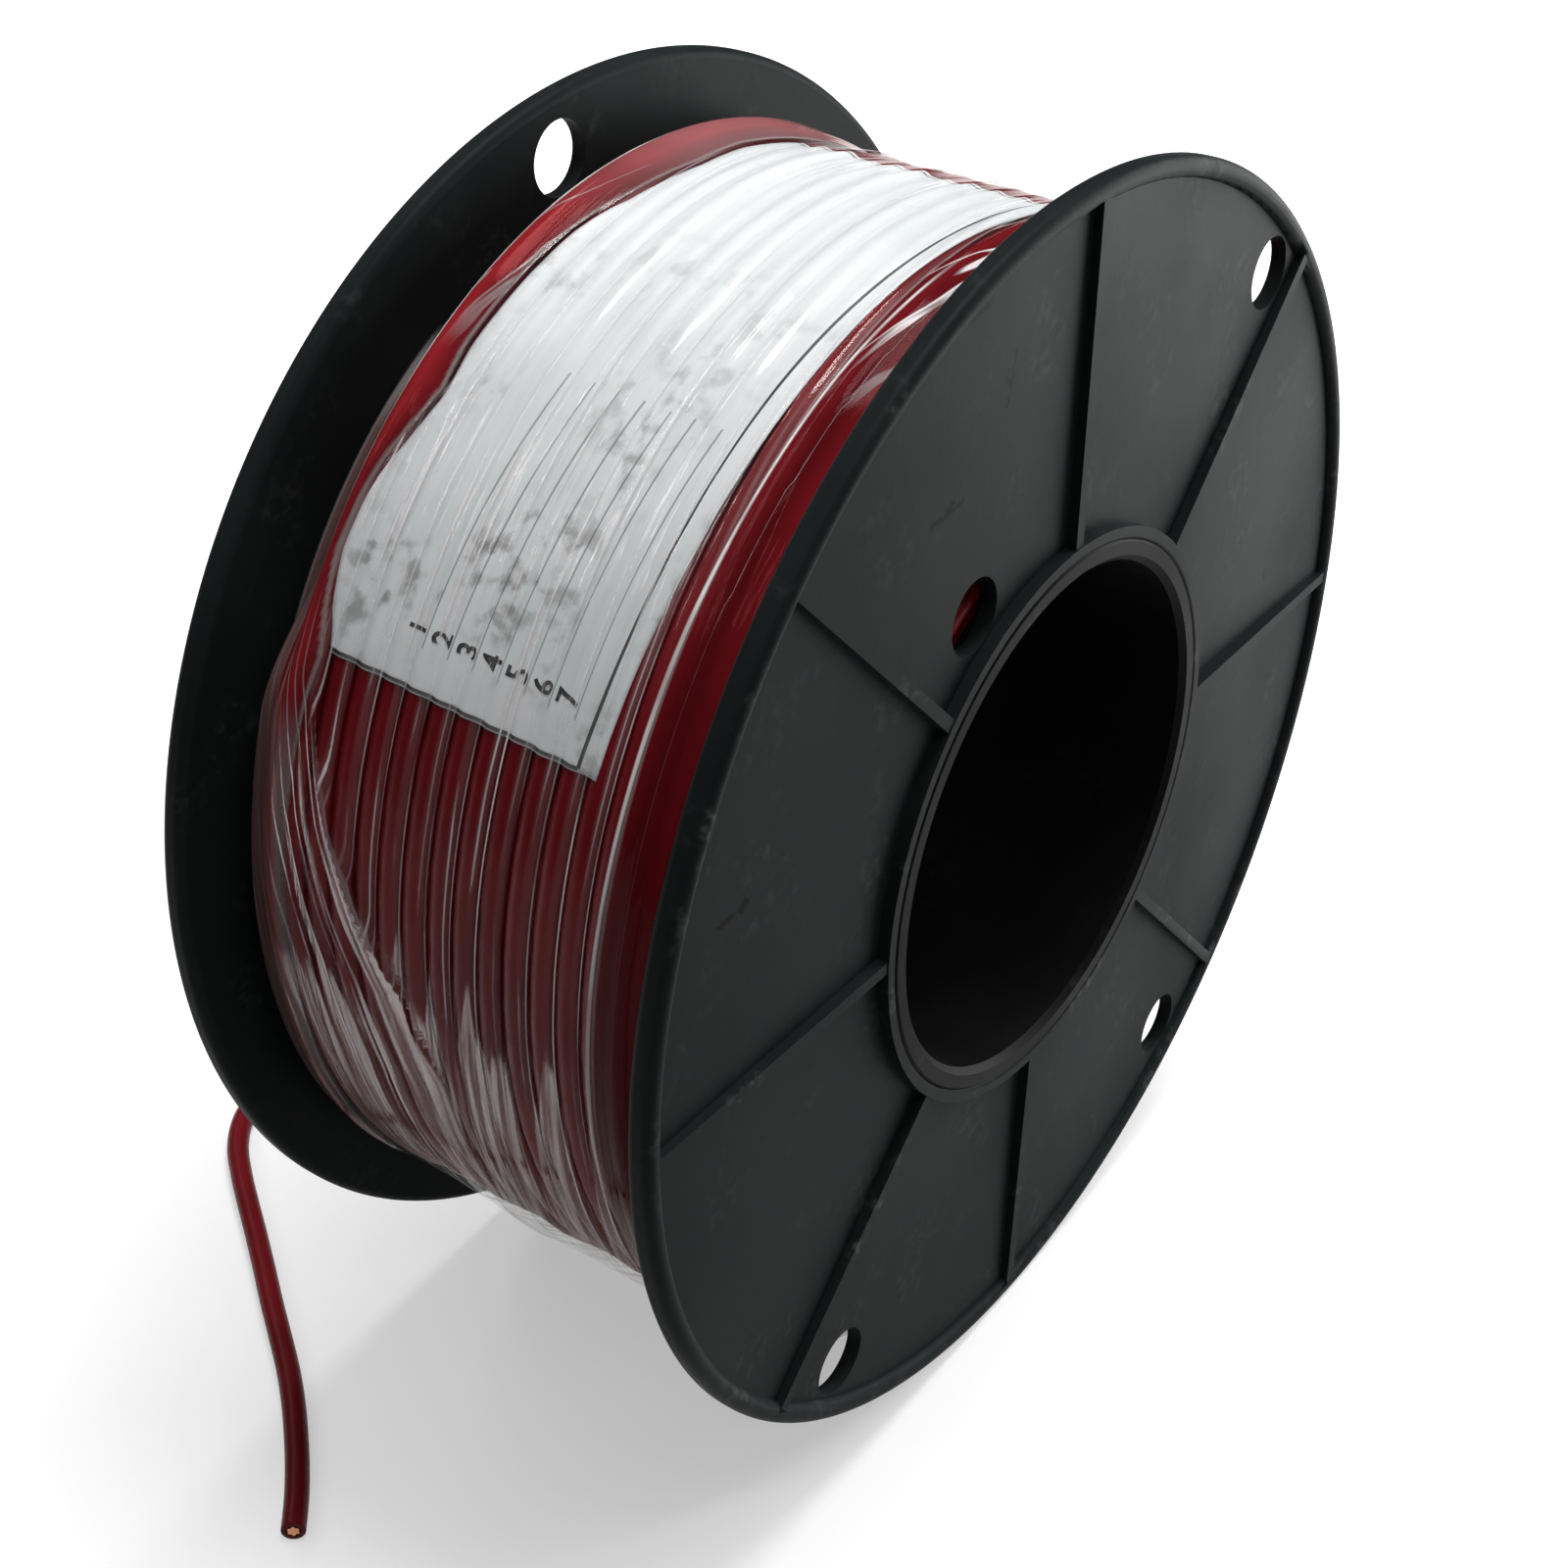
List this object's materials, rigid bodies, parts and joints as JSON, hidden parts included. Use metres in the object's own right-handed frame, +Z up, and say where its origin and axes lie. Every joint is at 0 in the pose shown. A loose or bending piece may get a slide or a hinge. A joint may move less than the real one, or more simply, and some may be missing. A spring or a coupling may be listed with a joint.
{
  "type": "wire spool",
  "caption": "Black ribbed plastic spool full of red insulated wire, held by clear stretch film over a blank paper label, with the wire's free end led out through a flange hole.",
  "frame": {"origin": "on the surface that the spool stands on, under the middle of the spool", "axes": "+X along the spindle bore towards the near flange, +Z up, -Y towards the side where the free wire end lies"},
  "size_m": [0.1458, 0.2148, 0.2],
  "materials": {
    "flange_plastic": "moulded black plastic, satin, scuffed on the ribs and rim",
    "barrel_plastic": "moulded black plastic, matt",
    "wire_insulation": "smooth red insulation, slightly glossy",
    "conductor_copper": "bare stranded copper",
    "label_paper": "white paper, ridged by the turns and soiled",
    "clear_film": "clear stretch film, creased and glossy"
  },
  "bodies": {
    "root": {"near_flange": "flange_plastic", "far_flange": "flange_plastic", "core_barrel": "barrel_plastic", "wire_inner_layers": "wire_insulation", "wire_outer_layer": "wire_insulation", "wire_tail": "wire_insulation", "wire_conductor": "conductor_copper", "label": "label_paper", "film_wrap": "clear_film"}
  },
  "joints": []
}
